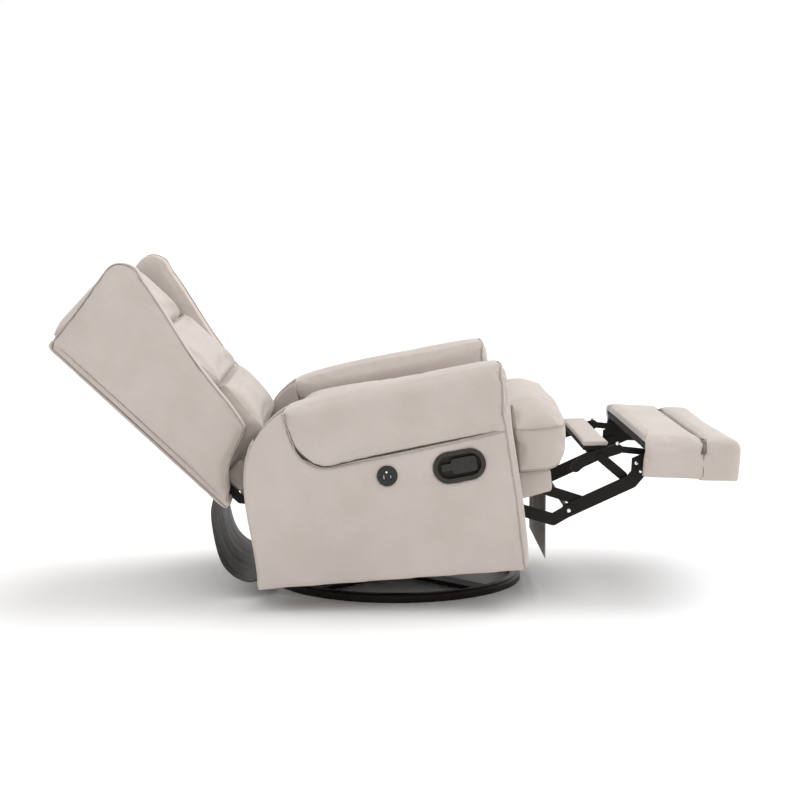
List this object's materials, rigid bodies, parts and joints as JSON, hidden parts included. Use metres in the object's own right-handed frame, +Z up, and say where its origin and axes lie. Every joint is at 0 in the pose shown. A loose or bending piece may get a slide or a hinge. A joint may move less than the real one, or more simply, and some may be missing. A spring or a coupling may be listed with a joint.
{
  "type": "recliner armchair",
  "caption": "Upholstered swivel rocker recliner with padded arms, winged back, folding leg rest on steel links and a round floor ring.",
  "frame": {"origin": "centre of the swivel ring, on the floor", "axes": "+X is the way the chair faces, +Y is the sitter's left, +Z is up"},
  "size_m": [1.5645, 0.7912, 0.783],
  "materials": {
    "upholstery": "soft brushed polyester, warm greige",
    "frame_wood": "raw plywood and pine",
    "link_steel": "black painted sheet steel",
    "ring_steel": "dark bronze powder coat",
    "bright_steel": "zinc plated",
    "handle_plastic": "moulded plastic",
    "port_plastic": "moulded plastic",
    "sling_cloth": "satin dark lining cloth",
    "flap_cloth": "grey lining cloth"
  },
  "bodies": {
    "base": {"base_ring": "ring_steel", "base_cross": "ring_steel", "base_hub": "ring_steel", "hub_bolts": "bright_steel"},
    "swivel": {"swivel_collar": "ring_steel", "swivel_plate": "ring_steel", "rocker_ears": "ring_steel", "rocker_pins": "bright_steel", "rocker_springs": "bright_steel"},
    "chair": {"rocker_brackets": "link_steel", "base_rails": "link_steel", "front_rail": "frame_wood", "rear_rail": "frame_wood", "sling_rail": "frame_wood", "seat_springs": "bright_steel", "arm_frames": "frame_wood", "arm_outer_left": "upholstery", "arm_outer_right": "upholstery", "arm_inner_left": "upholstery", "arm_inner_right": "upholstery", "arm_fronts": "upholstery", "arm_rears": "upholstery", "arm_pad_left": "upholstery", "arm_pad_right": "upholstery", "front_cheeks": "upholstery", "seat_cushion": "upholstery", "seat_front_roll": "upholstery", "link_hangers": "link_steel", "back_hinge_plates": "link_steel", "handle_bezel": "handle_plastic", "charge_port": "port_plastic", "front_flap": "flap_cloth"},
    "handle": {"handle_paddle": "handle_plastic"},
    "lower_link_pair": {"drive_tube": "link_steel", "lower_links": "link_steel"},
    "long_link_pair": {"long_links": "link_steel", "knee_rod": "link_steel"},
    "upper_link_pair": {"upper_tube": "link_steel", "upper_links": "link_steel"},
    "leg_rest": {"leg_pad_rear": "upholstery", "leg_pad_front": "upholstery", "leg_sides": "upholstery", "leg_front": "upholstery", "leg_board": "frame_wood", "leg_brackets": "link_steel", "flipper_hinges": "link_steel"},
    "flipper": {"flipper_pad": "upholstery", "flipper_board": "frame_wood", "flipper_carriers": "link_steel"},
    "cross_link_pair": {"cross_links": "link_steel"},
    "back": {"back_wing_left": "upholstery", "back_wing_right": "upholstery", "back_cover": "upholstery", "back_frame": "frame_wood", "back_cushion_lower": "upholstery", "back_cushion_middle": "upholstery", "back_cushion_upper": "upholstery", "back_lower_panel": "upholstery", "back_hinge_arms": "link_steel", "rear_sling": "sling_cloth"}
  },
  "joints": [
    {"name": "swivel", "type": "hinge", "parent": "base", "child": "swivel", "pos_m": [0, 0, 0], "axis": [0, 0, 1], "continuous": true},
    {"name": "rock", "type": "hinge", "parent": "swivel", "child": "chair", "pos_m": [0, 0, 0.12], "axis": [0, 1, 0], "range_deg": [-3, 7], "stiffness_Nm_per_rad": 900, "deforming": ["rocker_springs"]},
    {"name": "back_recline", "type": "hinge", "parent": "chair", "child": "back", "pos_m": [-0.14995, 0, 0.25803], "axis": [0, 1, 0], "range_deg": [0, 25], "deforming": ["rear_sling"]},
    {"name": "legrest_fold", "type": "hinge", "parent": "chair", "child": "lower_link_pair", "pos_m": [0.26754, 0, 0.21103], "axis": [0, 1, 0], "range_deg": [0, 67.95], "deforming": ["front_flap"]},
    {"name": "long_link_turn", "type": "hinge", "parent": "lower_link_pair", "child": "long_link_pair", "pos_m": [0.39398, 0, 0.20438], "axis": [0, 1, 0], "range_deg": [-130.23, 2]},
    {"name": "leg_rest_turn", "type": "hinge", "parent": "long_link_pair", "child": "leg_rest", "pos_m": [0.55889, 0, 0.29541], "axis": [0, 1, 0], "range_deg": [-2, 145.28]},
    {"name": "flipper_turn", "type": "hinge", "parent": "leg_rest", "child": "flipper", "pos_m": [0.56586, 0, 0.33802], "axis": [0, 1, 0], "range_deg": [-160, 2]},
    {"name": "cross_link_turn", "type": "hinge", "parent": "flipper", "child": "cross_link_pair", "pos_m": [0.4716, 0, 0.32424], "axis": [0, 1, 0], "range_deg": [-2, 128.4]},
    {"name": "upper_link_turn", "type": "hinge", "parent": "chair", "child": "upper_link_pair", "pos_m": [0.30147, 0, 0.26402], "axis": [0, 1, 0], "range_deg": [-2, 70.91]},
    {"name": "handle_pull", "type": "hinge", "parent": "chair", "child": "handle", "pos_m": [0.13669, -0.387, 0.31486], "axis": [0.9845, 0, 0.1754], "range_deg": [0, 30], "stiffness_Nm_per_rad": 0.4, "springref_deg": -20.05}
  ],
  "couplings": [
    {"joint": "long_link_turn", "follows": "legrest_fold", "ratio": -1.887},
    {"joint": "leg_rest_turn", "follows": "legrest_fold", "ratio": 2.1085},
    {"joint": "flipper_turn", "follows": "legrest_fold", "ratio": -2.3252},
    {"joint": "cross_link_turn", "follows": "legrest_fold", "ratio": 1.8602},
    {"joint": "upper_link_turn", "follows": "legrest_fold", "ratio": 1.0141}
  ]
}
